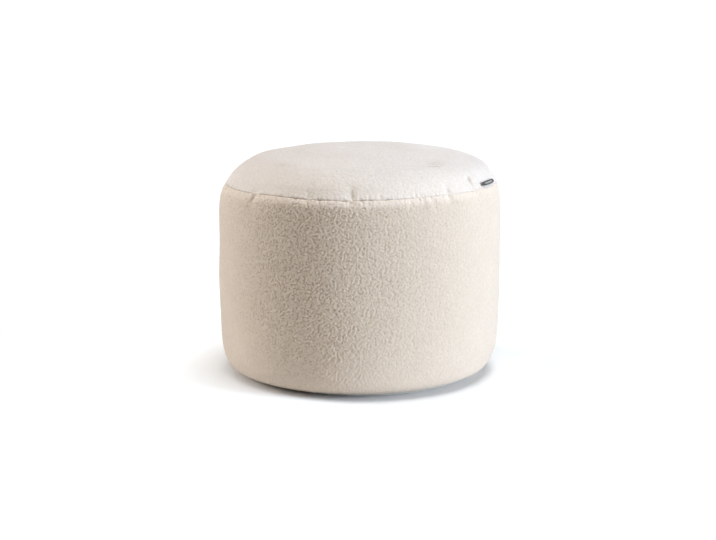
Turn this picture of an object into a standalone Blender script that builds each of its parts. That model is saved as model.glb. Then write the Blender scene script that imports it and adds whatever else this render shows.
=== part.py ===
"""Round boucle pouf: a tall side panel that rounds under at the foot, a crowned
top panel sewn to it with a plain puckered seam, a flat base panel and a small
woven label at the seam. Metres, +Z up, origin at the centre of the base on the
floor, front towards -Y.

Bearings are degrees round the pouf: 0 at the front (-Y), 90 at the right (+X).
"""

import math

import bpy

# ---------------------------------------------------------------- dimensions

SEAM_HEIGHT = 0.3405  # of the top seam, the mean all round
SEAM_TILT = 0.0020  # the seam stands this much higher at the right
SEAM_TUCK = 0.0030  # how far both panels turn in at the seam
SEAM_TUCK_REACH = 0.0050
JOIN_GAP = 0.0003  # between pieces that touch
BASE_THICKNESS = 0.0030
BASE_RADIUS = 0.2030
BASE_EDGE = 0.0010
SEGMENTS = 96

# The side panel's outline. level: share of the seam's height; radius: mean all
# round; lean: how much wider it is at the right than on average, and narrower
# at the left.
SIDE_ROWS = (
    # level, radius, lean
    (0.0097, 0.2075, 0.0020),
    (0.0180, 0.2150, -0.0005),
    (0.0300, 0.2247, -0.0020),
    (0.0450, 0.2325, -0.0015),
    (0.0700, 0.2387, -0.0010),
    (0.1000, 0.2431, -0.0005),
    (0.1400, 0.2466, 0.0005),
    (0.2000, 0.2487, 0.0010),
    (0.3200, 0.2496, 0.0010),
    (0.5200, 0.2499, 0.0005),
    (0.7200, 0.2496, 0.0010),
    (0.8500, 0.2487, 0.0012),
    (0.9200, 0.2472, 0.0018),
    (0.9600, 0.2448, 0.0026),
    (1.0000, 0.2398, 0.0039),
)

# The crown's outline. reach: share of the seam's radius; height: mean all
# round; tilt: how much higher it is at the right than on average.
CROWN_ROWS = (
    # reach, height, tilt
    (0.000, 0.3991, 0.0000),
    (0.090, 0.3992, -0.0003),
    (0.180, 0.3994, -0.0007),
    (0.300, 0.3991, -0.0006),
    (0.420, 0.3971, 0.0002),
    (0.540, 0.3932, 0.0009),
    (0.660, 0.3897, 0.0008),
    (0.760, 0.3856, 0.0008),
    (0.840, 0.3787, 0.0020),
    (0.885, 0.3728, 0.0027),
    (0.920, 0.3668, 0.0030),
    (0.950, 0.3596, 0.0027),
    (0.975, 0.3505, 0.0025),
    (1.000, 0.3405, 0.0020),
)

# Slow rise and fall of the seam line.
SEAM_WAVES = (
    # bearing, rise, half_width
    (-38.0, 0.0016, 10.0),
    (-6.0, -0.0010, 16.0),
    (36.0, 0.0011, 10.0),
    (82.0, -0.0008, 14.0),
    (128.0, 0.0012, 13.0),
    (176.0, -0.0011, 16.0),
    (-136.0, 0.0010, 12.0),
    (-88.0, -0.0009, 14.0),
)

# Puckers where the cloth was gathered into the seam: soft troughs that run up
# the crown and down the side from it. half_width is along the seam, in metres.
PUCKERS = (
    # bearing, depth, half_width, rise, fall
    (-48.0, 0.0035, 0.012, 0.008, 0.026),
    (-20.0, 0.0028, 0.010, 0.016, 0.008),
    (-3.5, 0.0036, 0.009, 0.022, 0.008),
    (24.0, 0.0022, 0.014, 0.006, 0.024),
    (38.0, 0.0028, 0.011, 0.016, 0.018),
    (56.0, 0.0042, 0.012, 0.034, 0.010),
    (88.0, 0.0022, 0.012, 0.010, 0.022),
    (112.0, 0.0026, 0.012, 0.022, 0.010),
    (141.0, 0.0022, 0.014, 0.008, 0.022),
    (166.0, 0.0030, 0.011, 0.024, 0.012),
    (-157.0, 0.0024, 0.013, 0.010, 0.020),
    (-128.0, 0.0028, 0.011, 0.020, 0.010),
    (-101.0, 0.0022, 0.014, 0.008, 0.024),
    (-74.0, 0.0026, 0.012, 0.018, 0.010),
)

# Hollows and swellings of the crown. radius: distance from the axis.
CROWN_DENTS = (
    # bearing, radius, depth, half_round, half_out
    (41.0, 0.172, 0.0030, 0.026, 0.012),
    (37.0, 0.197, -0.0010, 0.030, 0.010),
    (-45.0, 0.172, -0.0012, 0.034, 0.014),
    (150.0, 0.165, 0.0018, 0.034, 0.018),
    (-130.0, 0.175, 0.0016, 0.036, 0.016),
)

LABEL_BEARING = 67.5
LABEL_LENGTH = 0.062
LABEL_WIDTH = 0.0065
LABEL_PINCH = 0.25
LABEL_THICKNESS = 0.0012
LABEL_ABOVE_SEAM = 0.0042

BOUCLE = (0.76, 0.69, 0.60, 1.0)
BASE_CLOTH = (0.72, 0.66, 0.57, 1.0)
LABEL_CLOTH = (0.055, 0.057, 0.062, 1.0)


# ---------------------------------------------------------------- the surface


def between(rows, at, column):
    """Smooth value of a column of a table at a place along its first column."""
    last = len(rows) - 1
    at = min(max(at, rows[0][0]), rows[last][0])
    i = 0
    while i < last - 1 and at > rows[i + 1][0]:
        i += 1
    x0, x1 = rows[i][0], rows[i + 1][0]
    y0, y1 = rows[i][column], rows[i + 1][column]

    def slope(k):
        if k == 0 or k == last:
            a, b = (0, 1) if k == 0 else (last - 1, last)
            return (rows[b][column] - rows[a][column]) / (rows[b][0] - rows[a][0])
        before = (rows[k][column] - rows[k - 1][column]) / (rows[k][0] - rows[k - 1][0])
        after = (rows[k + 1][column] - rows[k][column]) / (rows[k + 1][0] - rows[k][0])
        if before * after <= 0.0:
            return 0.0
        return 2.0 * before * after / (before + after)

    width = x1 - x0
    t = (at - x0) / width
    return (
        (2 * t**3 - 3 * t**2 + 1) * y0
        + (t**3 - 2 * t**2 + t) * width * slope(i)
        + (3 * t**2 - 2 * t**3) * y1
        + (t**3 - t**2) * width * slope(i + 1)
    )


def bell(distance, half_width):
    return math.exp(-((distance / half_width) ** 2))


def apart(a, b):
    """Degrees from bearing b to bearing a, from -180 to 180."""
    return (a - b + 180.0) % 360.0 - 180.0


def lean_of(bearing):
    """1 at the right, -1 at the left, 0 at the front and the back."""
    return math.sin(math.radians(bearing))


def seam_height(bearing):
    waves = sum(
        rise * bell(apart(bearing, middle), half_width)
        for middle, rise, half_width in SEAM_WAVES
    )
    return SEAM_HEIGHT + SEAM_TILT * lean_of(bearing) + waves


def seam_radius(bearing):
    last = SIDE_ROWS[-1]
    return last[1] + last[2] * lean_of(bearing) - SEAM_TUCK


def pucker(bearing, radius, up):
    """How deep the puckers are, up metres above the seam (below it if negative)."""
    total = 0.0
    for middle, depth, half_width, rise, fall in PUCKERS:
        along = math.radians(apart(bearing, middle)) * radius
        total += depth * bell(along, half_width) * bell(up, rise if up > 0 else fall)
    return total


def side_point(bearing, level):
    """Radius and height of the side panel."""
    top = seam_height(bearing)
    height = level * SEAM_HEIGHT + (top - SEAM_HEIGHT) * level**6
    radius = between(SIDE_ROWS, level, 1) + between(SIDE_ROWS, level, 2) * lean_of(bearing)
    below = top - height
    radius -= SEAM_TUCK * math.exp(-below / SEAM_TUCK_REACH)
    radius -= pucker(bearing, radius, -below) * (1.0 - math.exp(-below / 0.004))
    return radius, height


def crown_point(bearing, reach):
    """Radius and height of the top panel."""
    rim = seam_radius(bearing)
    full = rim + SEAM_TUCK
    inward = full * (1.0 - reach)
    radius = reach * full - SEAM_TUCK * math.exp(-inward / SEAM_TUCK_REACH * 1.6)
    height = between(CROWN_ROWS, reach, 1) + between(CROWN_ROWS, reach, 2) * lean_of(bearing)
    height += (seam_height(bearing) - SEAM_HEIGHT - SEAM_TILT * lean_of(bearing)) * reach**8
    for middle, place, depth, half_round, half_out in CROWN_DENTS:
        along = math.radians(apart(bearing, middle)) * place
        height -= depth * bell(along, half_round) * bell(radius - place, half_out)
    up = height - seam_height(bearing)
    height -= pucker(bearing, radius, up + 0.6 * inward) * (1.0 - math.exp(-inward / 0.004))
    return radius, height


def bearing_of(x, y):
    return math.degrees(math.atan2(x, -y))


def place(bearing, radius, height):
    turn = math.radians(bearing)
    return radius * math.sin(turn), -radius * math.cos(turn), height


# ---------------------------------------------------------------- making pieces


def fabric(name, colour, roughness):
    material = bpy.data.materials.new(name)
    material.use_nodes = True
    shader = material.node_tree.nodes["Principled BSDF"]
    shader.inputs["Base Color"].default_value = colour
    shader.inputs["Roughness"].default_value = roughness
    shader.inputs["Metallic"].default_value = 0.0
    material.diffuse_color = colour
    return material


def finish(obj, material, collection):
    obj.data.materials.clear()
    obj.data.materials.append(material)
    obj.data.shade_smooth()
    obj.data.set_sharp_from_angle(angle=math.radians(50))
    for other in list(obj.users_collection):
        other.objects.unlink(obj)
    collection.objects.link(obj)


def turned(name, profile):
    """Turn a profile of (radius, height) points, which runs from the axis down
    the outer side and back to the axis, into a plain mesh."""
    mesh = bpy.data.meshes.new(name)
    mesh.from_pydata(
        [(radius, 0.0, height) for radius, height in profile],
        [(i, i + 1) for i in range(len(profile) - 1)],
        [],
    )
    guide = bpy.data.objects.new(name + "_profile", mesh)
    bpy.context.scene.collection.objects.link(guide)
    screw = guide.modifiers.new("turn", "SCREW")
    screw.axis = "Z"
    screw.steps = SEGMENTS
    screw.render_steps = SEGMENTS
    screw.use_merge_vertices = True
    screw.merge_threshold = 0.00001
    graph = bpy.context.evaluated_depsgraph_get()
    whole = bpy.data.meshes.new_from_object(guide.evaluated_get(graph))
    bpy.data.objects.remove(guide)
    bpy.data.meshes.remove(mesh)
    whole.name = name
    return bpy.data.objects.new(name, whole)


def side_panel():
    levels = [row[0] for row in SIDE_ROWS]
    levels.insert(len(levels) - 1, 0.985)
    levels.sort(reverse=True)
    foot = SIDE_ROWS[0]
    foot_height = BASE_THICKNESS + JOIN_GAP
    profile = [(0.0, SEAM_HEIGHT), (0.5, SEAM_HEIGHT)]
    profile += [(1.0 + i, SEAM_HEIGHT) for i in range(len(levels))]
    profile += [(0.75, foot_height), (0.0, foot_height)]
    obj = turned("side_panel", profile)
    for vertex in obj.data.vertices:
        x, y, z = vertex.co
        mark = math.hypot(x, y)
        bearing = bearing_of(x, y) if mark > 1e-6 else 0.0
        if mark < 1e-6:
            continue
        if mark > 0.99:
            level = levels[round(mark - 1.0)]
            radius, height = side_point(bearing, level)
            if level == foot[0]:
                height = foot_height
        elif z > foot_height + 0.001:
            radius = seam_radius(bearing) * mark
            height = SEAM_HEIGHT + (seam_height(bearing) - SEAM_HEIGHT) * mark**2
        else:
            radius, height = foot[1] * mark, z
        vertex.co = place(bearing, radius, height)
    return obj


def top_panel():
    reaches = [row[0] for row in CROWN_ROWS[1:]]
    reaches.insert(len(reaches) - 1, 0.988)
    lift = JOIN_GAP
    profile = [(0.0, 0.50)] + [(1.0 + i, 0.50) for i in range(len(reaches))]
    profile += [(0.5, SEAM_HEIGHT + lift), (0.0, SEAM_HEIGHT + lift)]
    obj = turned("top_panel", profile)
    for vertex in obj.data.vertices:
        x, y, z = vertex.co
        mark = math.hypot(x, y)
        bearing = bearing_of(x, y) if mark > 1e-6 else 0.0
        if mark < 1e-6:
            if z > 0.45:
                vertex.co = (0.0, 0.0, CROWN_ROWS[0][1])
            continue
        if mark > 0.99:
            reach = reaches[round(mark - 1.0)]
            radius, height = crown_point(bearing, reach)
            if reach == 1.0:
                radius, height = seam_radius(bearing), seam_height(bearing) + lift
        else:
            radius = seam_radius(bearing) * mark
            height = SEAM_HEIGHT + (seam_height(bearing) - SEAM_HEIGHT) * mark**2 + lift
        vertex.co = place(bearing, radius, height)
    return obj


def base_panel():
    bpy.ops.mesh.primitive_cylinder_add(
        vertices=SEGMENTS,
        radius=BASE_RADIUS,
        depth=BASE_THICKNESS,
        end_fill_type="NGON",
        location=(0.0, 0.0, 0.0),
    )
    obj = bpy.context.object
    obj.name = obj.data.name = "base_panel"
    for vertex in obj.data.vertices:
        vertex.co.z += BASE_THICKNESS / 2
    bevel = obj.modifiers.new("edge", "BEVEL")
    bevel.width = BASE_EDGE
    bevel.segments = 1
    bevel.limit_method = "ANGLE"
    return obj


def label():
    """A strip that follows the crown just above the seam."""
    along, across = 10, 2
    bpy.ops.mesh.primitive_grid_add(x_subdivisions=along, y_subdivisions=across, size=2.0)
    obj = bpy.context.object
    obj.name = obj.data.name = "label"
    edge_radius = seam_radius(LABEL_BEARING) + SEAM_TUCK
    half_turn = math.degrees(LABEL_LENGTH / 2 / edge_radius)

    def crown_at(bearing, run):
        """The crown, run metres up its slope from the seam."""
        steps, gone, reach = 60, 0.0, 1.0
        radius, height = crown_point(bearing, reach)
        while gone < run and reach > 0.8:
            reach -= 0.1 / steps
            next_radius, next_height = crown_point(bearing, reach)
            gone += math.hypot(next_radius - radius, next_height - height)
            radius, height = next_radius, next_height
        return radius, height

    for vertex in obj.data.vertices:
        u, v, _ = vertex.co
        bearing = LABEL_BEARING + u * half_turn
        v *= 1.0 - LABEL_PINCH * u**4  # the stitches at its ends draw them in
        run = LABEL_ABOVE_SEAM + (v + 1.0) / 2 * LABEL_WIDTH
        radius, height = crown_at(bearing, run)
        low = crown_at(bearing, run - 0.004)
        high = crown_at(bearing, run + 0.004)
        rise, out = high[1] - low[1], high[0] - low[0]
        size = math.hypot(rise, out)
        clear = JOIN_GAP + LABEL_THICKNESS / 2 + 0.0004
        radius += rise / size * clear
        height -= out / size * clear
        vertex.co = place(bearing, radius, height)
    solid = obj.modifiers.new("cloth", "SOLIDIFY")
    solid.thickness = LABEL_THICKNESS
    solid.offset = 0.0
    solid.use_even_offset = True
    return obj


def main():
    for obj in list(bpy.data.objects):
        bpy.data.objects.remove(obj)
    collection = bpy.data.collections.new("boucle_pouf")
    bpy.context.scene.collection.children.link(collection)
    finish(side_panel(), fabric("side_boucle", BOUCLE, 0.95), collection)
    finish(top_panel(), fabric("top_boucle", BOUCLE, 0.95), collection)
    finish(base_panel(), fabric("base_cloth", BASE_CLOTH, 0.9), collection)
    finish(label(), fabric("label_cloth", LABEL_CLOTH, 0.8), collection)


main()
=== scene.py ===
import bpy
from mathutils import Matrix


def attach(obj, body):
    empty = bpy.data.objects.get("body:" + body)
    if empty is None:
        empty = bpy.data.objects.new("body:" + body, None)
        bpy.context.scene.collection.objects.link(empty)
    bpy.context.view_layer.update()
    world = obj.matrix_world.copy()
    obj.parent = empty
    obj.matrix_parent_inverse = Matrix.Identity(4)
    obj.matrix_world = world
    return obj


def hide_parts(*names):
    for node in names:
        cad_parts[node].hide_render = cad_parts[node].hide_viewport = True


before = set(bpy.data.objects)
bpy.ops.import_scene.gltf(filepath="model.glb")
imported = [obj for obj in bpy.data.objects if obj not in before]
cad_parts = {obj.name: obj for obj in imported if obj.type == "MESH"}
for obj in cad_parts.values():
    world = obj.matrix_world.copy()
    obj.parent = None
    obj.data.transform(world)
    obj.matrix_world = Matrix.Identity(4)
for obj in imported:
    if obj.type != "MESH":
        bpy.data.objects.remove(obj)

"""Round boucle pouf, dressed: a skin of curly looped pile over the side band and
the crowned top, the puckered seam between them, a plain base cloth and a small
woven seam label, on a pale studio floor.

Bearings are degrees round the pouf: 0 at the front (-Y), 90 at the right (+X).
"""

import math

import bpy
import numpy as np

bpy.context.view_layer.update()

# ------------------------------------------------------------------ the form

SEAM_HEIGHT = 0.3405
SEAM_TILT = 0.0020
BASE_THICKNESS = 0.0030
JOIN_GAP = 0.0003

SIDE_ROWS = (
    # level, radius, lean
    (0.0097, 0.2075, 0.0020),
    (0.0180, 0.2150, -0.0005),
    (0.0300, 0.2247, -0.0020),
    (0.0450, 0.2325, -0.0015),
    (0.0700, 0.2387, -0.0010),
    (0.1000, 0.2431, -0.0005),
    (0.1400, 0.2466, 0.0005),
    (0.2000, 0.2487, 0.0010),
    (0.3200, 0.2496, 0.0010),
    (0.5200, 0.2499, 0.0005),
    (0.7200, 0.2496, 0.0010),
    (0.8500, 0.2487, 0.0012),
    (0.9200, 0.2472, 0.0018),
    (0.9600, 0.2448, 0.0026),
    (1.0000, 0.2398, 0.0039),
)

CROWN_ROWS = (
    # reach, height, tilt
    (0.000, 0.3991, 0.0000),
    (0.090, 0.3992, -0.0003),
    (0.180, 0.3994, -0.0007),
    (0.300, 0.3991, -0.0006),
    (0.420, 0.3971, 0.0002),
    (0.540, 0.3932, 0.0009),
    (0.660, 0.3897, 0.0008),
    (0.760, 0.3856, 0.0008),
    (0.840, 0.3787, 0.0020),
    (0.885, 0.3728, 0.0027),
    (0.920, 0.3668, 0.0030),
    (0.950, 0.3596, 0.0027),
    (0.975, 0.3505, 0.0025),
    (1.000, 0.3405, 0.0020),
)

SEAM_WAVES = (
    # bearing, rise, half_width
    (-38.0, 0.0016, 10.0),
    (-6.0, -0.0010, 16.0),
    (36.0, 0.0011, 10.0),
    (82.0, -0.0008, 14.0),
    (128.0, 0.0012, 13.0),
    (176.0, -0.0011, 16.0),
    (-136.0, 0.0010, 12.0),
    (-88.0, -0.0009, 14.0),
)

# Soft troughs where the cloth was gathered into the seam. rise and fall are how
# far they run up the crown and down the side, in metres.
PUCKERS = (
    # bearing, depth, half_width, rise, fall
    (-48.0, 0.0035, 0.012, 0.008, 0.026),
    (-20.0, 0.0028, 0.010, 0.016, 0.008),
    (-3.5, 0.0036, 0.009, 0.022, 0.008),
    (24.0, 0.0022, 0.014, 0.006, 0.024),
    (38.0, 0.0028, 0.011, 0.016, 0.018),
    (56.0, 0.0042, 0.012, 0.034, 0.010),
    (88.0, 0.0022, 0.012, 0.010, 0.022),
    (112.0, 0.0026, 0.012, 0.022, 0.010),
    (141.0, 0.0022, 0.014, 0.008, 0.022),
    (166.0, 0.0030, 0.011, 0.024, 0.012),
    (-157.0, 0.0024, 0.013, 0.010, 0.020),
    (-128.0, 0.0028, 0.011, 0.020, 0.010),
    (-101.0, 0.0022, 0.014, 0.008, 0.024),
    (-74.0, 0.0026, 0.012, 0.018, 0.010),
)

# Narrow tucks at the seam, a few millimetres wide. lean is how far they slant
# along the seam for each metre that they run from it.
TUCKS = (
    # bearing, depth, half_width, rise, fall, lean
    (-47.0, 0.0012, 0.0045, 0.003, 0.020, -0.3),
    (-21.5, 0.0008, 0.0032, 0.012, 0.003, 0.1),
    (-20.0, 0.0018, 0.0055, 0.004, 0.0015, 0.0),
    (-14.5, 0.0014, 0.0045, 0.004, 0.0015, 0.0),
    (-2.9, 0.0015, 0.0025, 0.018, 0.004, 0.0),
    (8.0, 0.0014, 0.0035, 0.008, 0.003, 0.2),
    (21.0, 0.0016, 0.0045, 0.004, 0.016, -0.3),
    (29.0, 0.0018, 0.0045, 0.004, 0.018, 0.3),
    (38.0, 0.0022, 0.0040, 0.012, 0.012, 0.0),
    (54.5, 0.0034, 0.0045, 0.030, 0.006, -0.2),
    (97.0, 0.0022, 0.0035, 0.014, 0.006, 0.1),
    (118.0, 0.0024, 0.0035, 0.006, 0.016, -0.3),
    (146.0, 0.0022, 0.0032, 0.016, 0.004, 0.1),
    (169.0, 0.0028, 0.0034, 0.018, 0.004, 0.0),
    (-171.0, 0.0018, 0.0040, 0.004, 0.016, 0.4),
    (-149.0, 0.0024, 0.0034, 0.014, 0.004, 0.0),
    (-121.0, 0.0022, 0.0036, 0.005, 0.018, 0.3),
    (-92.0, 0.0024, 0.0034, 0.016, 0.004, -0.1),
    (-69.0, 0.0018, 0.0036, 0.010, 0.006, 0.2),
)

CROWN_DENTS = (
    # bearing, radius, depth, half_round, half_out
    (41.0, 0.172, 0.0030, 0.026, 0.012),
    (37.0, 0.197, -0.0010, 0.030, 0.010),
    (-45.0, 0.172, -0.0012, 0.034, 0.014),
    (150.0, 0.165, 0.0018, 0.034, 0.018),
    (-130.0, 0.175, 0.0016, 0.036, 0.016),
)

LABEL_BEARING = 67.5
LABEL_LENGTH = 0.062
LABEL_WIDTH = 0.0065
LABEL_PINCH = 0.25
LABEL_THICKNESS = 0.0012
LABEL_TAPE = 0.0004  # one layer of it
LABEL_CUT = 0.0110  # how wide the tape was cut, with the edges that are turned under
LABEL_ABOVE_SEAM = 0.0042

SEAM_ROUND = 0.0040  # radius to which both panels roll into the seam
SEAM_FLUSH = 0.0014  # the same where the cloth lies flush, over the label's side

# Small hollows in the pile of the crown, over its form.
HOLLOWS = (
    # bearing, inward from the seam, depth, half_round, half_in
    (41.0, 0.0690, 0.0030, 0.017, 0.0058),
    (45.5, 0.0830, 0.0011, 0.013, 0.0110),
    (54.5, 0.0210, 0.0036, 0.0036, 0.0080),
    (-43.0, 0.0700, 0.0007, 0.026, 0.0060),
    (162.0, 0.0760, 0.0014, 0.020, 0.0050),
    (-112.0, 0.0640, 0.0012, 0.022, 0.0060),
)

# Small nips in the side band's cloth, just under the seam.
NIPS = (
    # bearing, below the seam, depth, half_round, half_down, lean
    (-48.4, 0.0092, 0.0017, 0.0021, 0.0062, -0.6),
    (157.0, 0.0060, 0.0026, 0.0024, 0.0060, 0.5),
    (-113.0, 0.0050, 0.0022, 0.0022, 0.0050, -0.4),
)

# ------------------------------------------------------------------ the pile

# gap between curls, their radius, the yarn's radius, then ranges: height of their
# ends, rise of their middle, and how many degrees they turn
UPPER_CURLS = (0.0036, 0.0015, 0.00105, (0.0002, 0.0006), (0.0003, 0.0009), (90, 230))
LOWER_CURLS = (0.0032, 0.0014, 0.00082, (0.0000, 0.0002), (0.0001, 0.0003), (90, 230))
SIDE_PILE = 0.00130  # from the ground between the curls to their tips
TOP_PILE = 0.0008  # the same on the top, where sitting has pressed it flatter
MAP_CELL = 0.00045

SIDE_COLUMNS = 1248  # round the pouf, in four equal pieces
SIDE_STEP = 0.00126
TOP_STEP = 0.00160
QUARTERS = ("front_right", "back_right", "back_left", "front_left")
FIRST_BEARING = -38.0


def smooth_rows(rows, column):
    """Monotone cubic through a column of a table, as a function of its first."""
    x = np.array([row[0] for row in rows])
    y = np.array([row[column] for row in rows])
    chord = np.diff(y) / np.diff(x)
    slope = np.zeros_like(y)
    slope[0], slope[-1] = chord[0], chord[-1]
    a, b = chord[:-1], chord[1:]
    same = a * b > 0
    slope[1:-1][same] = 2 * a[same] * b[same] / (a[same] + b[same])

    def value(at):
        at = np.clip(at, x[0], x[-1])
        i = np.clip(np.searchsorted(x, at, side="right") - 1, 0, len(x) - 2)
        width = x[i + 1] - x[i]
        t = (at - x[i]) / width
        return (
            (2 * t**3 - 3 * t**2 + 1) * y[i]
            + (t**3 - 2 * t**2 + t) * width * slope[i]
            + (3 * t**2 - 2 * t**3) * y[i + 1]
            + (t**3 - t**2) * width * slope[i + 1]
        )

    return value


side_radius, side_lean = smooth_rows(SIDE_ROWS, 1), smooth_rows(SIDE_ROWS, 2)
crown_height, crown_tilt = smooth_rows(CROWN_ROWS, 1), smooth_rows(CROWN_ROWS, 2)


def bell(distance, half_width):
    return np.exp(-((distance / half_width) ** 2))


def apart(a, b):
    return (a - b + 180.0) % 360.0 - 180.0


def seam_height(bearing):
    waves = sum(rise * bell(apart(bearing, at), wide) for at, rise, wide in SEAM_WAVES)
    return SEAM_HEIGHT + SEAM_TILT * np.sin(np.radians(bearing)) + waves


def gather(bearing, radius, up):
    """Depth of the puckers and tucks, up metres from the seam along the cloth."""
    depth = np.zeros(np.broadcast(bearing, up).shape)
    above = up > 0
    for at, deep, wide, rise, fall in PUCKERS:
        along = np.radians(apart(bearing, at)) * radius
        depth += deep * bell(along, wide) * bell(up, np.where(above, rise, fall))
    for at, deep, wide, rise, fall, lean in TUCKS:
        along = np.radians(apart(bearing, at)) * radius - lean * np.abs(up)
        reach = bell(up, np.where(above, rise, fall))
        depth += deep * bell(along, wide) * reach
        depth -= 0.35 * deep * bell(along - 2.2 * wide, 1.6 * wide) * reach
        depth -= 0.35 * deep * bell(along + 2.2 * wide, 1.6 * wide) * reach
    return depth


def side_form(bearing, level):
    """Radius and height of the side band, before its pile and puckers."""
    top = seam_height(bearing)
    height = level * SEAM_HEIGHT + (top - SEAM_HEIGHT) * level**6
    radius = side_radius(level) + side_lean(level) * np.sin(np.radians(bearing))
    return radius, height


def crown_form(bearing, reach):
    """Radius and height of the top, before its pile and puckers."""
    lean = np.sin(np.radians(bearing))
    full = SIDE_ROWS[-1][1] + SIDE_ROWS[-1][2] * lean
    radius = reach * full
    height = crown_height(reach) + crown_tilt(reach) * lean
    height = height + (seam_height(bearing) - SEAM_HEIGHT - SEAM_TILT * lean) * reach**8
    for at, place, depth, round_, out in CROWN_DENTS:
        along = np.radians(apart(bearing, at)) * place
        height = height - depth * bell(along, round_) * bell(radius - place, out)
    return radius, height


def spots(bearing, radius, height):
    turn = np.radians(bearing)
    return np.stack([radius * np.sin(turn), -radius * np.cos(turn), height], axis=-1)


def unit(v):
    return v / np.maximum(np.linalg.norm(v, axis=-1, keepdims=True), 1e-12)


# ------------------------------------------------------------------ pile maps


def slow_noise(rng, shape, cells, wrap):
    """Smooth noise of about unit size, over a map of that shape, cells wide."""
    rows, columns = shape
    down = max(2, int(round(cells * rows / columns)))
    grid = rng.normal(size=(down + 3, cells + 3))
    if wrap:
        grid[:, cells:] = grid[:, : 3]
    y = np.linspace(0, down, rows, endpoint=False)
    x = np.linspace(0, cells, columns, endpoint=False)

    def weights(t):
        f = t - np.floor(t)
        return np.stack([(1 - f) ** 2 / 2, 0.5 + f * (1 - f), f**2 / 2]), np.floor(t).astype(int)

    wy, iy = weights(y)
    wx, ix = weights(x)
    lines = sum(wy[k][:, None] * grid[iy + k] for k in range(3))
    return sum(wx[k][None, :] * lines[:, ix + k] for k in range(3)) * 1.6


def lay_curls(rng, shape, width, height, wrap, layer):
    """One layer of short C-shaped curls of yarn on a flat map of the cloth: the
    height that they reach over its ground, and a shade for each."""
    gap, curl, thick, low, lift, turn = layer
    rows, columns = shape
    across, down = int(round(width / gap)), int(round(height / (gap * 0.87)))
    gx, gy = np.meshgrid(np.arange(across) + 0.5, np.arange(down) + 0.5)
    gx = gx + 0.5 * (np.arange(down)[:, None] % 2)
    n = gx.size
    cx = (gx.ravel() + rng.uniform(-0.5, 0.5, n)) * width / across
    cy = (gy.ravel() + rng.uniform(-0.5, 0.5, n)) * height / down
    size = curl * rng.uniform(0.65, 1.35, n)
    squeeze = rng.uniform(0.55, 1.0, n)
    spin = rng.uniform(0, 2 * np.pi, n)
    start = rng.uniform(0, 2 * np.pi, n)
    span = np.radians(rng.uniform(turn[0], turn[1], n))
    yarn = thick * rng.uniform(0.85, 1.15, n)
    floor = rng.uniform(low[0], low[1], n)
    rise = rng.uniform(lift[0], lift[1], n)
    shade = rng.uniform(0, 1, n)
    field = np.zeros(rows * columns)
    tone = np.full(rows * columns, 0.5)
    half = int(math.ceil((curl * 1.35 + thick * 1.2) / MAP_CELL))
    dy, dx = np.mgrid[-half : half + 1, -half : half + 1]
    dx, dy = dx.ravel(), dy.ravel()
    for first in range(0, n, 3000):
        k = slice(first, min(first + 3000, n))
        sq, rad, wide = squeeze[k][:, None], size[k][:, None], yarn[k][:, None]
        a0, a1 = start[k][:, None], (start[k] + span[k])[:, None]
        c, s = np.cos(spin[k])[:, None], np.sin(spin[k])[:, None]
        # the middle of the arc, not of its circle, lies on its grid point
        middle = (a0 + a1) / 2
        shift = rad * np.sinc((a1 - a0) / 2 / np.pi)
        ox, oy = shift * np.cos(middle), shift * np.sin(middle) * sq
        px, py = cx[k][:, None] - (ox * c - oy * s), cy[k][:, None] - (ox * s + oy * c)
        col = np.floor(px / MAP_CELL).astype(int) + dx
        row = np.floor(py / MAP_CELL).astype(int) + dy
        x, y = (col + 0.5) * MAP_CELL - px, (row + 0.5) * MAP_CELL - py
        u, v = x * c + y * s, (y * c - x * s) / sq
        part = ((np.arctan2(v, u) - a0) % (2 * np.pi)) / (a1 - a0)
        ring = np.hypot(u, v)
        slant = np.sqrt(u * u + (v / sq) ** 2) / np.maximum(ring, 1e-9)
        away = np.abs(ring - rad) / np.maximum(slant, 1)
        to_start = np.hypot(u - rad * np.cos(a0), (v - rad * np.sin(a0)) * sq)
        to_end = np.hypot(u - rad * np.cos(a1), (v - rad * np.sin(a1)) * sq)
        away = np.where(part <= 1, away, np.minimum(to_start, to_end))
        part = np.where(part <= 1, part, np.where(to_start < to_end, 0.0, 1.0))
        middle_height = floor[k][:, None] + rise[k][:, None] * np.sin(np.pi * part) ** 0.8
        bulge = wide**2 - away**2
        top = np.where(bulge > 0, middle_height + np.sqrt(np.maximum(bulge, 0)), 0.0)
        good = (row >= 0) & (row < rows) & (top > 0)
        if wrap:
            col = col % columns
        else:
            good &= (col >= 0) & (col < columns)
        index, value = (row * columns + col)[good], top[good]
        np.maximum.at(field, index, value)
        wins = value >= field[index] - 1e-12
        tone[index[wins]] = np.broadcast_to(shade[k][:, None], top.shape)[good][wins]
    return field.reshape(shape), tone.reshape(shape)


def soften(field, wrap, passes):
    for _ in range(passes):
        for axis in (0, 1):
            if axis == 1 and wrap:
                before, after = np.roll(field, 1, axis), np.roll(field, -1, axis)
            else:
                pad = [(1, 1) if a == axis else (0, 0) for a in (0, 1)]
                wide = np.pad(field, pad, mode="edge")
                before = np.take(wide, np.arange(field.shape[axis]), axis)
                after = np.take(wide, np.arange(field.shape[axis]) + 2, axis)
            field = 0.5 * field + 0.25 * (before + after)
    return field


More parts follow.
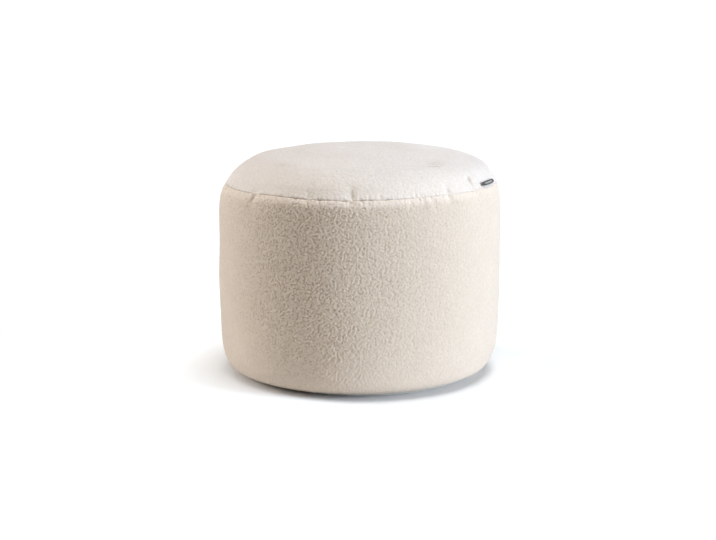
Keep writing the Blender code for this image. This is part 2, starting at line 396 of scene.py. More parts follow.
def curl_map(width, height, wrap, seed):
    """Height of the pile from 0 at its ground to 1 at its tips, a shade for each
    yarn and a slow swell, over a flat map of the cloth."""
    rng = np.random.default_rng(seed)
    shape = (int(round(height / MAP_CELL)), int(round(width / MAP_CELL)))
    upper, upper_tone = lay_curls(rng, shape, width, height, wrap, UPPER_CURLS)
    lower, lower_tone = lay_curls(rng, shape, width, height, wrap, LOWER_CURLS)
    field = np.maximum(upper, lower)
    tone = np.where(upper >= lower, upper_tone, lower_tone)
    field, tone = soften(field, wrap, 1), soften(tone, wrap, 1)
    # the power leaves as much of the cloth high as low
    field = (field / np.percentile(field, 97)) ** 1.45
    swell = slow_noise(rng, shape, max(3, int(width / 0.075)), wrap)
    return field, tone, swell


def read_map(field, x, y, wrap):
    """Bilinear value of a map at x, y metres."""
    rows, columns = field.shape
    u, v = x / MAP_CELL - 0.5, np.clip(y / MAP_CELL - 0.5, 0, rows - 1.001)
    if wrap:
        u = u % columns
    else:
        u = np.clip(u, 0, columns - 1.001)
    i, j = np.floor(u).astype(int), np.floor(v).astype(int)
    fu, fv = u - i, v - j
    right = (i + 1) % columns
    i = i % columns
    return (field[j, i] * (1 - fu) + field[j, right] * fu) * (1 - fv) + (
        field[j + 1, i] * (1 - fu) + field[j + 1, right] * fu
    ) * fv


# ------------------------------------------------------------------ meshes


def make_mesh(name, points, faces, normals, floats, uv):
    """A mesh object. faces: list of integer arrays, n x 3 or n x 4. normals and
    uv: one row for each corner, in the faces' order. floats: point attributes."""
    mesh = bpy.data.meshes.new(name)
    corners = np.concatenate([f.ravel() for f in faces])
    sizes = np.concatenate([np.full(len(f), f.shape[1]) for f in faces])
    starts = np.concatenate([[0], np.cumsum(sizes)[:-1]])
    mesh.vertices.add(len(points))
    mesh.vertices.foreach_set("co", points.astype(np.float32).ravel())
    mesh.loops.add(len(corners))
    mesh.loops.foreach_set("vertex_index", corners.astype(np.int32))
    mesh.polygons.add(len(sizes))
    mesh.polygons.foreach_set("loop_start", starts.astype(np.int32))
    mesh.polygons.foreach_set("use_smooth", np.ones(len(sizes), bool))
    mesh.update(calc_edges=True)
    layer = mesh.uv_layers.new(name="OFBake")
    layer.uv.foreach_set("vector", uv.astype(np.float32).ravel())
    for key, values in floats.items():
        attribute = mesh.attributes.new(key, "FLOAT", "POINT")
        attribute.data.foreach_set("value", values.astype(np.float32))
    mesh.normals_split_custom_set(normals.astype(np.float32).tolist())
    obj = bpy.data.objects.new(name, mesh)
    bpy.context.scene.collection.objects.link(obj)
    return obj


def face_normals(points, faces):
    a, b, c = points[faces[:, 0]], points[faces[:, 1]], points[faces[:, -1]]
    if faces.shape[1] == 4:
        return np.cross(points[faces[:, 2]] - a, points[faces[:, 3]] - b)
    return np.cross(b - a, c - a)


def point_normals(points, faces):
    total = np.zeros_like(points)
    weight = face_normals(points, faces)
    for k in range(faces.shape[1]):
        for axis in range(3):
            total[:, axis] += np.bincount(faces[:, k], weight[:, axis], len(points))
    return unit(total)


def corner_data(points, skin, skin_normals, hidden, skin_uv, spare_uv):
    """Corner normals and UVs: smooth ones on the skin, flat ones on what is
    hidden inside, whose UVs lie in a spare strip."""
    normals = [skin_normals[skin].reshape(-1, 3)]
    uvs = [skin_uv[skin].reshape(-1, 2)]
    for faces in hidden:
        flat = unit(face_normals(points, faces))
        normals.append(np.repeat(flat, faces.shape[1], axis=0))
        x = np.linspace(0.01, 0.99, len(faces))
        tri = np.stack([x, np.full_like(x, spare_uv)], axis=-1)[:, None, :]
        shift = np.array([[0, 0], [0.004, 0], [0, 0.004], [0.004, 0.004]])[: faces.shape[1]]
        uvs.append((tri + shift[None]).reshape(-1, 2))
    return np.concatenate(normals), np.concatenate(uvs)


# The pile's colour follows these too: painted light, paler where it lies flatter and darker where it stands fuller.
PILE_SWELLS = (
    # bearing, change, half_width: where the pile stands fuller or lies flatter
    (-25.0, 0.42, 22.0),
    (62.0, -0.46, 32.0),
    (-69.0, -0.28, 20.0),
    (-122.0, 0.30, 26.0),
    (132.0, 0.25, 30.0),
    (-173.0, 0.15, 26.0),
)


def fullness(bearing):
    """How full the pile stands, round the body."""
    return 1.0 + sum(change * bell(apart(bearing, at), wide) for at, change, wide in PILE_SWELLS)


def label_cover(bearing, up):
    """1 where the label presses on the pile of the crown, up metres from the seam."""
    along = np.radians(apart(bearing, LABEL_BEARING)) * 0.243
    past_end = np.clip((np.abs(along) - LABEL_LENGTH / 2) / 0.0020, 0, 1)
    middle = LABEL_ABOVE_SEAM + LABEL_WIDTH / 2
    past_edge = np.clip((np.abs(up - middle) - LABEL_WIDTH / 2) / 0.0020, 0, 1)
    return (1 - past_end**2 * (3 - 2 * past_end)) * (1 - past_edge**2 * (3 - 2 * past_edge))


def roll_in(bearing, along):
    """How far the cloth has turned in, along metres from the seam."""
    flush = 1 / (1 + np.exp(-(28.0 - np.abs(apart(bearing, 48.0))) / 4.0))
    flush = flush + 0.85 / (1 + np.exp(-(34.0 - np.abs(apart(bearing, -68.0))) / 4.0))
    radius = (SEAM_ROUND + (SEAM_FLUSH - SEAM_ROUND) * flush) * uneven(bearing)
    t = np.clip(1 - along / radius, 0, 1)
    return radius * (1 - np.sqrt(np.maximum(1 - t * t, 0)))


def uneven(bearing):
    """How much wider or tighter than usual the seam is drawn, round the pouf."""
    turn = np.radians(bearing)
    return 1 + 0.26 * np.sin(41 * turn + 0.5) + 0.22 * np.sin(67 * turn + 2.1) + 0.16 * np.sin(107 * turn)


def ruffle(bearing, along, phase):
    """The small uneven gathers beside the stitches, along metres from the seam."""
    turn = np.radians(bearing)
    waves = sum(
        np.sin(count * turn + phase * count + 1.7 * k) for k, count in enumerate((131, 173, 209, 283))
    )
    patchy = 0.55 + 0.45 * np.sin(5 * turn + 2.2) * np.sin(9 * turn + phase)
    patchy = patchy + 0.9 * bell(apart(bearing, -18.0), 9.0) - 0.25 * bell(apart(bearing, 45.0), 25.0)
    return 0.00032 * waves * patchy * np.exp(-((along / 0.0085) ** 2))


def pile_height(field, near_seam, depth):
    """Height of the pile over the outline, from its map, flatter at the seam."""
    settle = 0.45 + 0.55 * np.clip(near_seam / 0.016, 0, 1)
    return (field - 0.56) * depth * settle - 0.0003


def side_skin():
    """Points of the whole side band, as columns x rows, with their maps."""
    fine = np.linspace(SIDE_ROWS[0][0], 1.0, 4000)
    r, z = side_radius(fine), fine * SEAM_HEIGHT
    run = np.concatenate([[0], np.cumsum(np.hypot(np.diff(r), np.diff(z)))])
    total = run[-1]
    near = total - np.array([0.0, 0.0004, 0.0009, 0.0015, 0.0022, 0.0030, 0.0040, 0.0051])
    far = np.linspace(0, near[-1], int((near[-1]) / SIDE_STEP) + 1)[:-1]
    along = np.concatenate([far, near[::-1]])
    level = np.interp(along, run, fine)[None, :]
    bearing = (FIRST_BEARING + np.arange(SIDE_COLUMNS) * 360.0 / SIDE_COLUMNS)[:, None]
    below = (total - along)[None, :]
    radius, height = side_form(bearing, level)
    form = spots(bearing, radius, height)
    out = np.cross(
        np.roll(form, -1, 0) - np.roll(form, 1, 0), np.gradient(form, axis=1)
    )
    out = unit(out)
    width = 2 * np.pi * 0.25
    field, tone, swell = curl_map(width, total + 0.002, True, 11)
    x = np.broadcast_to(np.arange(SIDE_COLUMNS)[:, None] / SIDE_COLUMNS * width, form.shape[:2])
    y = np.broadcast_to(along[None, :], form.shape[:2])
    pile = read_map(field, x, y, True)
    shade = read_map(tone, x, y, True)
    slow = read_map(swell, x, y, True)
    full = fullness(bearing) * (1 - 0.46 * np.exp(-((along[None, :] / 0.100) ** 2)))
    offset = pile_height(pile, below, SIDE_PILE) * full
    # The strip just under the seam is drawn smoother and paler: partly the combed seam allowance, partly a painted
    # highlight where the shoulder catches the light from above.
    combed_and_painted_lit_strip = np.clip(1 - below / 0.016, 0, 1) ** 2
    # the pile's colour: a flatter pile shows less of its painted shade in the hollows and is drawn paler, a painted
    # highlight on the lit right side and painted light from the floor at the foot; a fuller one is drawn darker,
    # painted shade on the front left
    pile = 0.8 + 0.92 * (pile - 0.8) * full * (1 - 0.6 * combed_and_painted_lit_strip) + 0.1 * combed_and_painted_lit_strip + 0.15 * (1 - full)
    puff = below / 0.010 * np.exp(1 - below / 0.010)
    offset += 0.0013 * puff * (0.3 + 0.7 * np.maximum(np.cos(np.radians(bearing)), 0))
    for at, place, deep, half_round, half_down, lean in NIPS:
        around = np.radians(apart(bearing, at)) * 0.246 - lean * (below - place)
        nip = bell(around, half_round) * bell(below - place, half_down)
        offset -= deep * nip
        # the pile is drawn darker in the nip: painted shade
        pile = pile * (1 - 0.5 * nip)
    offset -= gather(bearing, 0.246, -below) * (1 - np.exp(-below / 0.0025))
    offset -= roll_in(bearing, below)
    offset += ruffle(bearing, below, 0.4)
    offset += 0.0006 * slow * np.clip(below / 0.03, 0, 1) * np.clip(along[None, :] / 0.05, 0, 1)
    foot = np.clip(along[None, :] / 0.012, 0, 1)
    offset = offset * (0.15 + 0.85 * foot)
    points = form + out * offset[..., None]
    points[..., 2] = np.maximum(points[..., 2], BASE_THICKNESS + JOIN_GAP)
    # 1 on a painted highlight along the strip under the seam, where the shoulder catches the light from above, widest
    # in front, and a little painted highlight where the pile lies flat, on the lit right side and at the foot
    front = 0.25 + 0.75 * np.maximum(np.cos(np.radians(bearing)), 0) ** 2
    rim = np.maximum(front * np.exp(-((below / 0.0125) ** 4)), 0.25 * np.clip((1 - full) / 0.46, 0, 1))
    return points, pile, shade, rim, total, along


def side_pieces(material):
    points, pile, shade, rim, total, along = side_skin()
    columns, rows = points.shape[:2]
    flat = points.reshape(-1, 3)
    i, j = np.meshgrid(np.arange(columns), np.arange(rows - 1), indexing="ij")
    nxt = (i + 1) % columns
    quads = np.stack(
        [i * rows + j, nxt * rows + j, nxt * rows + j + 1, i * rows + j + 1], -1
    ).reshape(-1, 4)
    normals = point_normals(flat, quads)
    share = columns // 4
    made = []
    for q, quarter in enumerate(QUARTERS):
        cols = (q * share + np.arange(share + 1)) % columns
        pick = (cols[:, None] * rows + np.arange(rows)[None, :]).ravel()
        local, own = flat[pick], normals[pick]
        i, j = np.meshgrid(np.arange(share), np.arange(rows - 1), indexing="ij")
        skin = np.stack(
            [i * rows + j, (i + 1) * rows + j, (i + 1) * rows + j + 1, i * rows + j + 1], -1
        ).reshape(-1, 4)
        count = len(local)
        low, high = count, count + 1
        body = np.concatenate(
            [local, [[0, 0, BASE_THICKNESS + JOIN_GAP], [0, 0, SEAM_HEIGHT - 0.006]]]
        )
        c = np.arange(share)
        top = np.stack([c * rows + rows - 1, (c + 1) * rows + rows - 1, np.full(share, high)], -1)
        foot = np.stack([(c + 1) * rows, c * rows, np.full(share, low)], -1)
        r = np.arange(rows - 1)
        half = rows // 2
        apex = np.where(r < half, low, high)
        first = np.stack([r, r + 1, apex], -1)
        end = share * rows
        last = np.stack([end + r + 1, end + r, apex], -1)
        joint = np.array([[half, high, low], [end + half, low, high]])
        hidden = [top, foot, first, last, joint]
        u = np.repeat(0.01 + 0.98 * np.arange(share + 1) / share, rows)
        v = np.tile(0.01 + 0.94 * along / total, share + 1)
        uv = np.stack([u, v], -1)
        loop_normals, loop_uv = corner_data(body, skin, own, hidden, uv, 0.975)
        extra = np.zeros(2)
        floats = {
            "pile": np.concatenate([pile.reshape(-1)[pick], extra]),
            "yarn": np.concatenate([shade.reshape(-1)[pick], extra]),
            "rim": np.concatenate([rim.reshape(-1)[pick], extra]),
        }
        obj = make_mesh("side_" + quarter, body, [skin] + hidden, loop_normals, floats, loop_uv)
        obj.data.materials.append(material)
        made.append(obj)
    return made


def top_piece(material):
    fine = np.linspace(0, 1, 6000)
    r, z = fine * SIDE_ROWS[-1][1], crown_height(fine)
    run = np.concatenate([[0], np.cumsum(np.hypot(np.diff(r), np.diff(z)))])
    total = run[-1]
    near = total - np.array([0.0, 0.0004, 0.0009, 0.0015, 0.0022, 0.0030, 0.0040, 0.0052])
    step = TOP_STEP * 0.88
    far = np.linspace(0, near[-1], int(near[-1] / step) + 1)[1:-1]
    rings = np.concatenate([far, near[::-1]])
    reach_of = np.interp(rings, run, fine)
    counts = np.maximum(6, np.round(2 * np.pi * reach_of * 0.24 / TOP_STEP)).astype(int)
    bearing, along, first = [np.array([0.0])], [np.array([0.0])], [0, 1]
    offsets = []
    for k, n in enumerate(counts):
        off = 0.25 * (k % 2)
        offsets.append(off)
        bearing.append(360.0 * (np.arange(n) + off) / n)
        along.append(np.full(n, rings[k]))
        first.append(first[-1] + n)
    bearing, along = np.concatenate(bearing), np.concatenate(along)
    reach = np.interp(along, run, fine)

    def form(b, q):
        return spots(b, *crown_form(b, q))

    eps = 0.004
    base = form(bearing, reach)
    turn = np.radians(bearing)
    inner, outer = np.maximum(reach - eps, 0), np.minimum(reach + eps, 1)
    run_dir = form(bearing, outer) - form(bearing, inner)
    round_dir = np.stack([np.cos(turn), np.sin(turn), np.zeros_like(turn)], -1)
    out = unit(np.cross(round_dir, run_dir))
    out[out[:, 2] < 0] *= -1
    side = total + 0.004
    field, tone, swell = curl_map(2 * side, 2 * side, False, 23)
    x, y = side + along * np.sin(turn), side - along * np.cos(turn)
    pile = read_map(field, x, y, False)
    shade = read_map(tone, x, y, False)
    slow = read_map(swell, x, y, False)
    inward = total - along
    pressed = label_cover(bearing, inward)
    lay = pile_height(pile, inward, TOP_PILE)
    offset = lay * (1 - 0.75 * pressed) - 0.0010 * pressed
    offset -= gather(bearing, 0.24, inward) * (1 - np.exp(-inward / 0.0025))
    offset -= roll_in(bearing, inward)
    offset += ruffle(bearing, inward, 0.6)
    hollow_painted_shade = np.zeros_like(bearing)
    for at, place, depth, round_, deep_in in HOLLOWS:
        around = np.radians(apart(bearing, at)) * (0.2434 - place)
        hollow = bell(around, round_) * bell(inward - place - 0.10 * np.abs(around), deep_in)
        offset -= depth * hollow
        hollow_painted_shade = np.maximum(hollow_painted_shade, hollow * min(1.0, depth / 0.0022))
    offset += 0.0006 * slow * np.clip(inward / 0.03, 0, 1)
    points = base + out * offset[:, None]
    rim = slice(first[-2], first[-1])
    points[rim, 2] += JOIN_GAP

    triangles = [np.stack([np.zeros(counts[0], int), 1 + np.arange(counts[0]), 1 + (np.arange(counts[0]) + 1) % counts[0]], -1)]
    for k in range(len(counts) - 1):
        na, nb = counts[k], counts[k + 1]
        a0, b0 = first[k + 1], first[k + 2]
        ma = (np.arange(na) + 0.5 + offsets[k]) / na
        mb = (np.arange(nb) + 0.5 + offsets[k + 1]) / nb
        tip_b = np.searchsorted(mb, ma, side="left")
        tip_a = np.searchsorted(ma, mb, side="right")
        i, j = np.arange(na), np.arange(nb)
        triangles.append(np.stack([a0 + i, b0 + tip_b % nb, a0 + (i + 1) % na], -1))
        triangles.append(np.stack([a0 + tip_a % na, b0 + j, b0 + (j + 1) % nb], -1))
    skin = np.concatenate(triangles)
    normals = point_normals(points, skin)
    if normals[0, 2] < 0:
        skin = skin[:, ::-1]
        normals = -normals
    n = counts[-1]
    ring = first[-2] + np.arange(n)
    body = np.concatenate([points, [[0, 0, SEAM_HEIGHT - 0.0055]]])
    closing = np.stack([ring, np.full(n, len(points)), first[-2] + (np.arange(n) + 1) % n], -1)
    if face_normals(body, closing)[:, 2].mean() > 0:
        closing = closing[:, ::-1]
    uv = np.stack([0.5 + 0.47 * along / total * np.sin(turn), 0.49 - 0.47 * along / total * np.cos(turn)], -1)
    loop_normals, loop_uv = corner_data(body, skin, normals, [closing], uv, 0.985)
    extra = np.zeros(1)
    floats = {
        # The pile's colour is drawn darker in the hollows and where the label presses on it, painted shade at its
        # edges.
        "pile": np.concatenate([(0.8 + (pile - 0.8) * 0.6) * (1 - 0.4 * pressed) * (1 - 0.95 * hollow_painted_shade), extra]),
        "yarn": np.concatenate([shade, extra]),
        # the crown's edge near the seam, strongest at the front and back, is drawn paler: painted highlight
        "rim": np.concatenate([np.exp(-((inward / 0.045) ** 2)) * (1 - 0.8 * np.sin(turn) ** 2), extra]),
    }
    obj = make_mesh("top_panel_boucle", body, [skin, closing], loop_normals, floats, loop_uv)
    obj.data.materials.append(material)
    return obj


def base_piece(material):
    """The round cloth under the pouf, with the line where it is sewn on."""
    count = 192
    profile = (
        # radius, height
        (0.0000, 0.0000),
        (0.0500, 0.0000),
        (0.1000, 0.0000),
        (0.1500, 0.0000),
        (0.1900, 0.0000),
        (0.1972, 0.0000),
        (0.1980, 0.0005),
        (0.1988, 0.0000),
        (0.2020, 0.0001),
        (0.2030, 0.0010),
        (0.2030, 0.0022),
        (0.2020, 0.0030),
        (0.1600, 0.0030),
        (0.0800, 0.0030),
        (0.0000, 0.0030),
    )
    mesh = bpy.data.meshes.new("base_profile")
    mesh.from_pydata([(r, 0, z) for r, z in profile], [(i, i + 1) for i in range(len(profile) - 1)], [])
    guide = bpy.data.objects.new("base_profile", mesh)
    bpy.context.scene.collection.objects.link(guide)
    screw = guide.modifiers.new("turn", "SCREW")
    screw.steps = screw.render_steps = count
    screw.use_merge_vertices = True
    screw.merge_threshold = 0.00001
    screw.use_normal_flip = True
    graph = bpy.context.evaluated_depsgraph_get()
    whole = bpy.data.meshes.new_from_object(guide.evaluated_get(graph))
    bpy.data.objects.remove(guide)
    bpy.data.meshes.remove(mesh)
    whole.name = "base_panel_cloth"
    obj = bpy.data.objects.new("base_panel_cloth", whole)
    bpy.context.scene.collection.objects.link(obj)
    whole.shade_smooth()
    whole.set_sharp_from_angle(angle=math.radians(50))
    obj.data.materials.append(material)
    return obj


def label_section():
    """The tape across: its long edges are turned under the face.

    Returns the place of each point from edge to edge as (across, rise), with the
    direction that faces out, for a face 1 wide from -0.5 to 0.5.
    """
    layer = (LABEL_THICKNESS - LABEL_TAPE) / 2
    straight = LABEL_WIDTH - 2 * layer
    under = (LABEL_CUT - straight - 2 * math.pi * layer) / 2
    turn = np.linspace(0, math.pi, 7)[1:-1]
    edge = -LABEL_WIDTH / 2 + layer
    across = [edge + under, edge + under * 0.5, edge]
    rise = [-layer] * 3
    out = [(0, -1)] * 3
    for t in turn:
        across.append(edge - layer * math.sin(t))
        rise.append(-layer * math.cos(t))
        out.append((-math.sin(t), -math.cos(t)))
    for x in np.linspace(edge, -edge, 13):
        across.append(x)
        rise.append(layer)
        out.append((0, 1))
    for t in turn[::-1]:
        across.append(-edge + layer * math.sin(t))
        rise.append(-layer * math.cos(t))
        out.append((math.sin(t), -math.cos(t)))
    across += [-edge, -edge - under * 0.5, -edge - under]
    rise += [-layer] * 3
    out += [(0, -1)] * 3
    return np.array(across), np.array(rise), np.array(out, float)


def label_piece(material):
    """A narrow woven tape that is sewn down on the crown just above the seam."""
    along = 96
    fine = np.linspace(0.86, 1.0, 1500)
    u = np.linspace(-1, 1, along + 1)
    half_turn = math.degrees(LABEL_LENGTH / 2 / 0.2434)
    place, rise, facing = label_section()
    rows = len(place)
    centre = np.zeros((along + 1, rows, 3))
    out, up = np.zeros_like(centre), np.zeros_like(centre)
    for i, at in enumerate(u):
        bearing = LABEL_BEARING + at * half_turn
        r, z = crown_form(np.full_like(fine, bearing), fine)
        run = np.cumsum(np.hypot(np.diff(r[::-1]), np.diff(z[::-1])))
        run = np.concatenate([[0], run])
        pinch = 1 - LABEL_PINCH * at**4
        want = LABEL_ABOVE_SEAM + LABEL_WIDTH / 2 + place * pinch
        q = np.interp(want, run, fine[::-1])
        centre[i] = spots(np.full_like(q, bearing), *crown_form(np.full_like(q, bearing), q))
        a = spots(np.full_like(q, bearing), *crown_form(np.full_like(q, bearing), q - 0.006))
        b = spots(np.full_like(q, bearing), *crown_form(np.full_like(q, bearing), np.minimum(q + 0.006, 1)))
        turn = math.radians(bearing)
        round_dir = np.array([math.cos(turn), math.sin(turn), 0.0])
        up[i] = unit(a - b)
        out[i] = unit(np.cross(round_dir, b - a))
    out[out[..., 2] < 0] *= -1
    lift = JOIN_GAP + LABEL_THICKNESS / 2 + 0.0004
    share = np.clip(place / LABEL_WIDTH, -0.5, 0.5)
    wave = 0.00020 * np.sin(u * 5.1 + 0.8)[:, None] * (0.7 + 0.6 * share)[None, :]
    drawn = -0.00045 * np.exp(-(((np.abs(u) - 0.95) / 0.035) ** 2))[:, None]
    curl = 0.00022 * (2 * np.abs(share)) ** 3
    middle = centre + out * (lift + rise[None, :] + wave + drawn + curl[None, :])[..., None]
    normal = unit(up * facing[None, :, 0, None] + out * facing[None, :, 1, None])
    half = LABEL_TAPE / 2 * np.sqrt(np.clip(1 - (1 - np.clip((1 - np.abs(u)) / 0.006, 0, 1)) ** 2, 0.1, 1))
    upper = middle + normal * half[:, None, None]
    lower = middle - normal * half[:, None, None]
    count = (along + 1) * rows
    last = rows - 1
    body = np.concatenate([upper.reshape(-1, 3), lower.reshape(-1, 3)])
    i, j = np.meshgrid(np.arange(along), np.arange(last), indexing="ij")
    quad = np.stack([i * rows + j, (i + 1) * rows + j, (i + 1) * rows + j + 1, i * rows + j + 1], -1).reshape(-1, 4)
    back = quad[:, ::-1] + count
    c, r = np.arange(along), np.arange(last)
    end = along * rows
    walls = [
        np.stack([c * rows, c * rows + count, (c + 1) * rows + count, (c + 1) * rows], -1),
        np.stack([(c + 1) * rows + last, (c + 1) * rows + last + count, c * rows + last + count, c * rows + last], -1),
        np.stack([r + 1, r + 1 + count, r + count, r], -1),
        np.stack([end + r, end + r + count, end + r + 1 + count, end + r + 1], -1),
    ]
    faces = np.concatenate([quad, back] + walls)
    face_side = np.einsum("ij,ij->i", face_normals(body, quad), normal.reshape(-1, 3)[quad[:, 0]])
    if face_side.sum() < 0:
        faces = faces[:, ::-1]
    normals = point_normals(body, faces)
    run = np.concatenate([[0], np.cumsum(np.hypot(np.diff(place), np.diff(rise)))])
    run = run / run[-1]
    uu = np.repeat((u + 1) / 2, rows)
    vv = np.tile(run, along + 1)
    front_uv = np.stack([0.02 + 0.96 * uu, 0.52 + 0.46 * vv], -1)
    back_uv = np.stack([0.02 + 0.96 * uu, 0.48 - 0.46 * vv], -1)
    uv = np.concatenate([front_uv, back_uv])
    on_face = np.tile((facing[:, 1] > 0.5) * 1.0, along + 1)
    floats = {
        "along": np.concatenate([uu, uu]),
        "across": np.tile(share + 0.5, 2 * (along + 1)),
        "face": np.concatenate([on_face, np.zeros(count)]),
    }
    obj = make_mesh("seam_label", body, [faces], normals[faces].reshape(-1, 3), floats, uv[faces].reshape(-1, 2))
    obj.data.materials.append(material)
    return obj


# ------------------------------------------------------------------ materials


SIDE_CREAM = (0.630, 0.513, 0.408)
# the same cloth as the side, drawn paler and less warm on the top: painted light from above
TOP_CREAM_PAINTED_PALER = (0.663, 0.585, 0.534)
SHEEN = 0.25


def new_material(name, base, roughness, sheen=0.0):
    material = bpy.data.materials.new(name)
    material.use_nodes = True
    tree = material.node_tree
    shader = tree.nodes["Principled BSDF"]
    shader.inputs["Base Color"].default_value = (*base, 1.0)
    shader.inputs["Roughness"].default_value = roughness
    shader.inputs["Specular IOR Level"].default_value = 0.25
    if sheen:
        shader.inputs["Sheen Weight"].default_value = sheen
        shader.inputs["Sheen Roughness"].default_value = 0.5
        shader.inputs["Sheen Tint"].default_value = (1.0, 0.97, 0.93, 1.0)
    return material, tree, shader


def noise(tree, coords, scale, detail=2.0, rough=0.5):
    node = tree.nodes.new("ShaderNodeTexNoise")
    node.inputs["Scale"].default_value = scale
    node.inputs["Detail"].default_value = detail
    node.inputs["Roughness"].default_value = rough
    tree.links.new(coords, node.inputs["Vector"])
    return node.outputs["Fac"]


def attribute(tree, name):
    node = tree.nodes.new("ShaderNodeAttribute")
    node.attribute_name = name
    return node.outputs["Fac"]


def remap(tree, value, low, high, to_low, to_high):
    node = tree.nodes.new("ShaderNodeMapRange")
    for key, number in (("From Min", low), ("From Max", high), ("To Min", to_low), ("To Max", to_high)):
        node.inputs[key].default_value = number
    tree.links.new(value, node.inputs["Value"])
    return node.outputs["Result"]


def math_node(tree, operation, a, b=None):
    node = tree.nodes.new("ShaderNodeMath")
    node.operation = operation
    for socket, value in zip(node.inputs, (a, b)):
        if value is None:
            continue
        if isinstance(value, (int, float)):
            socket.default_value = value
        else:
            tree.links.new(value, socket)
    return node.outputs["Value"]


def ramp(tree, value, stops):
    node = tree.nodes.new("ShaderNodeValToRGB")
    elements = node.color_ramp.elements
    while len(elements) < len(stops):
        elements.new(0.5)
    for element, (at, colour) in zip(elements, stops):
        element.position = at
        element.color = (*colour, 1.0)
    tree.links.new(value, node.inputs["Fac"])
    return node.outputs["Color"]


def shade_by(tree, colour, factor):
    """Multiply a colour by a number."""
    node = tree.nodes.new("ShaderNodeVectorMath")
    node.operation = "SCALE"
    tree.links.new(colour, node.inputs[0])
    tree.links.new(factor, node.inputs["Scale"])
    return node.outputs["Vector"]


def bump(tree, shader, height, strength, distance):
    node = tree.nodes.new("ShaderNodeBump")
    node.inputs["Strength"].default_value = strength
    node.inputs["Distance"].default_value = distance
    tree.links.new(height, node.inputs["Height"])
    tree.links.new(node.outputs["Normal"], shader.inputs["Normal"])


def object_coords(tree):
    return tree.nodes.new("ShaderNodeTexCoord").outputs["Object"]


def boucle_material(name, tips, rim):
    """Curly pile, with painted shade in its hollows. tips: its colour where the light reaches it. rim: what that is
    times along the painted highlights, such as the strip under the seam."""
    material, tree, shader = new_material(name, tips, 0.92, sheen=SHEEN)
    at = object_coords(tree)
    pile = attribute(tree, "pile")
    yarn = attribute(tree, "yarn")
    fluff = noise(tree, at, 1400.0, 3.0, 0.65)
    fibre = noise(tree, at, 520.0, 2.0, 0.6)
    cloud = noise(tree, at, 22.0, 2.0)
    depth = math_node(tree, "ADD", pile, remap(tree, fluff, 0.3, 0.7, -0.10, 0.10))
    # the pile's ground is drawn darker than its tips: painted shade in its hollows
    deep = [tips[0] * 0.71, tips[1] * 0.675, tips[2] * 0.62]
    middle = [tips[0] * 0.915, tips[1] * 0.90, tips[2] * 0.875]
    colour = ramp(tree, depth, ((0.0, deep), (0.38, middle), (0.9, tips)))
    colour = shade_by(tree, colour, remap(tree, yarn, 0.0, 1.0, 0.96, 1.04))
    colour = shade_by(tree, colour, remap(tree, cloud, 0.3, 0.7, 0.985, 1.015))
    # where the rim attribute is 1 the colour is multiplied by the rim tint: painted highlight
    painted_highlight_mix = tree.nodes.new("ShaderNodeMix")
    painted_highlight_mix.data_type, painted_highlight_mix.blend_type = "RGBA", "MULTIPLY"
    tree.links.new(attribute(tree, "rim"), painted_highlight_mix.inputs["Factor"])
    tree.links.new(colour, painted_highlight_mix.inputs["A"])
    painted_highlight_mix.inputs["B"].default_value = (*rim, 1.0)
    colour = painted_highlight_mix.outputs["Result"]
    tree.links.new(colour, shader.inputs["Base Color"])
    tree.links.new(remap(tree, fluff, 0.2, 0.8, 0.86, 1.0), shader.inputs["Roughness"])
    height = math_node(tree, "ADD", math_node(tree, "MULTIPLY", fluff, 0.5), fibre)
    bump(tree, shader, height, 0.7, 0.0006)
    return material


def weave(tree, coords, pitch_x, pitch_y):
    """Height of a plain weave from two sine waves across and along."""
    split = tree.nodes.new("ShaderNodeSeparateXYZ")
    tree.links.new(coords, split.inputs["Vector"])
    x = math_node(tree, "SINE", math_node(tree, "MULTIPLY", split.outputs["X"], 2 * math.pi / pitch_x))
    y = math_node(tree, "SINE", math_node(tree, "MULTIPLY", split.outputs["Y"], 2 * math.pi / pitch_y))
    return math_node(tree, "MULTIPLY", x, y)


def base_material(name):
    material, tree, shader = new_material(name, (0.72, 0.66, 0.57), 0.88, sheen=0.1)
    at = object_coords(tree)
    cloth = weave(tree, at, 0.0026, 0.0026)
    slub = noise(tree, at, 260.0, 3.0, 0.6)
    both = math_node(tree, "ADD", cloth, slub)
    colour = ramp(tree, remap(tree, both, -1.0, 2.0, 0.0, 1.0), ((0.0, (0.55, 0.49, 0.41)), (0.6, (0.71, 0.65, 0.56)), (1.0, (0.78, 0.73, 0.65))))
    tree.links.new(colour, shader.inputs["Base Color"])
    tree.links.new(remap(tree, slub, 0.2, 0.8, 0.8, 0.96), shader.inputs["Roughness"])
    bump(tree, shader, both, 0.6, 0.0003)
    return material


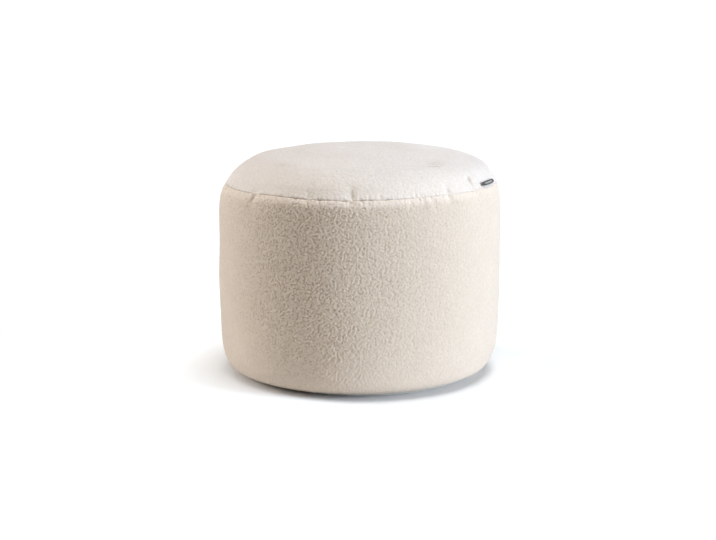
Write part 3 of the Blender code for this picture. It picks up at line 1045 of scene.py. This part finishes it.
def label_material(name):
    """Charcoal ribbed tape with a greyer middle and a bar of stitches at each end."""
    material, tree, shader = new_material(name, (0.055, 0.051, 0.046), 0.75, sheen=0.1)
    along, across, face = attribute(tree, "along"), attribute(tree, "across"), attribute(tree, "face")
    thread = noise(tree, object_coords(tree), 1800.0, 2.0)
    ribs = math_node(tree, "SINE", math_node(tree, "MULTIPLY", along, 2 * math.pi * 84))
    picks = math_node(tree, "SINE", math_node(tree, "MULTIPLY", across, 2 * math.pi * 13))
    from_middle = math_node(tree, "ABSOLUTE", math_node(tree, "SUBTRACT", across, 0.5))
    from_centre = math_node(tree, "ABSOLUTE", math_node(tree, "SUBTRACT", along, 0.5))
    band = math_node(
        tree,
        "MULTIPLY",
        remap(tree, from_middle, 0.16, 0.30, 1.0, 0.0),
        remap(tree, from_centre, 0.20, 0.40, 1.0, 0.0),
    )
    bar = math_node(
        tree,
        "MULTIPLY",
        remap(tree, math_node(tree, "ABSOLUTE", math_node(tree, "SUBTRACT", from_centre, 0.475)), 0.004, 0.007, 1.0, 0.0),
        remap(tree, picks, -0.4, 0.2, 0.0, 1.0),
    )
    pale = math_node(tree, "MULTIPLY", math_node(tree, "MAXIMUM", math_node(tree, "MULTIPLY", band, 0.60), bar), face)
    grain = remap(tree, math_node(tree, "ADD", ribs, thread), -1.0, 2.0, -0.04, 0.04)
    colour = ramp(
        tree,
        math_node(tree, "ADD", pale, grain),
        ((0.0, (0.042, 0.038, 0.034)), (0.10, (0.074, 0.067, 0.059)), (1.0, (0.52, 0.465, 0.395))),
    )
    tree.links.new(colour, shader.inputs["Base Color"])
    tree.links.new(remap(tree, thread, 0.2, 0.8, 0.65, 0.85), shader.inputs["Roughness"])
    height = math_node(tree, "ADD", ribs, math_node(tree, "MULTIPLY", picks, 0.5))
    bump(tree, shader, height, 0.5, 0.0002)
    return material


def floor_material(name):
    material, tree, shader = new_material(name, (0.95, 0.95, 0.95), 0.9)
    at = object_coords(tree)
    tree.links.new(remap(tree, noise(tree, at, 3.0), 0.3, 0.7, 0.88, 0.92), shader.inputs["Roughness"])
    return material


# ------------------------------------------------------------------ camera, light


def make_camera():
    elevation, distance, aim = math.radians(11.29), 2.786, 0.1769
    data = bpy.data.cameras.new("camera")
    data.sensor_width = 36.0
    data.lens = 1551.0 * 36.0 / 716.0
    data.shift_x = -1.09 / 716.0
    data.clip_end = 200.0
    obj = bpy.data.objects.new("camera", data)
    obj.location = (0.0, -distance * math.cos(elevation), aim + distance * math.sin(elevation))
    obj.rotation_euler = (math.pi / 2 - elevation, 0.0, 0.0)
    bpy.context.scene.collection.objects.link(obj)
    bpy.context.scene.camera = obj


LIGHTS = (
    # name, bearing, elevation, spread, strength, colour
    ("key_low", 70.0, 3.0, 20.0, 2.90, (0.81, 1.01, 1.26)),
    ("key_high", 70.0, 20.0, 20.0, 1.28, (0.84, 1.0, 1.18)),
    ("left", -110.0, 20.0, 25.0, 1.55, (1.0, 1.0, 1.0)),
    ("left_high", -90.0, 60.0, 40.0, 0.75, (0.98, 1.0, 1.01)),
    ("overhead_back", 118.0, 79.0, 28.0, 1.20, (0.98, 1.0, 1.01)),
    ("overhead_front", 12.0, 79.0, 30.0, 1.02, (0.98, 1.0, 1.01)),
)


def make_lights():
    for name, bearing, elevation, spread, strength, colour in LIGHTS:
        data = bpy.data.lights.new(name, "SUN")
        data.energy = strength
        data.color = colour
        data.angle = math.radians(spread)
        obj = bpy.data.objects.new(name, data)
        turn, rise = math.radians(bearing), math.radians(elevation)
        # a sun shines along its own -Z, from this side and height
        obj.rotation_euler = (math.pi / 2 - rise, 0.0, turn)
        bpy.context.scene.collection.objects.link(obj)
    world = bpy.data.worlds.new("studio")
    world.use_nodes = True
    world.node_tree.nodes["Background"].inputs["Color"].default_value = (0.0, 0.0, 0.0, 1.0)
    bpy.context.scene.world = world
    bpy.context.scene.view_settings.view_transform = "Standard"
    bpy.context.scene.view_settings.look = "None"


def make_floor():
    bpy.ops.mesh.primitive_circle_add(vertices=96, radius=70.0, fill_type="NGON", location=(0, 0, 0))
    obj = bpy.context.object
    obj.name = "studio_floor"
    obj.data.materials.append(floor_material("floor"))


def main():
    make_camera()
    make_lights()
    make_floor()
    # the third colour of each boucle material tints its painted highlights
    side_cloth = boucle_material("side_boucle_pile", SIDE_CREAM, (1.17, 1.205, 1.28))
    for piece in side_pieces(side_cloth):
        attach(piece, "root")
        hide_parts("side_panel")
    top = top_piece(boucle_material("top_boucle_pile", TOP_CREAM_PAINTED_PALER, (1.115, 1.09, 1.03)))
    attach(top, "root")
    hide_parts("top_panel")
    base = base_piece(base_material("base_weave"))
    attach(base, "root")
    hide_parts("base_panel")
    label = label_piece(label_material("label_weave"))
    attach(label, "root")
    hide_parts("label")


main()
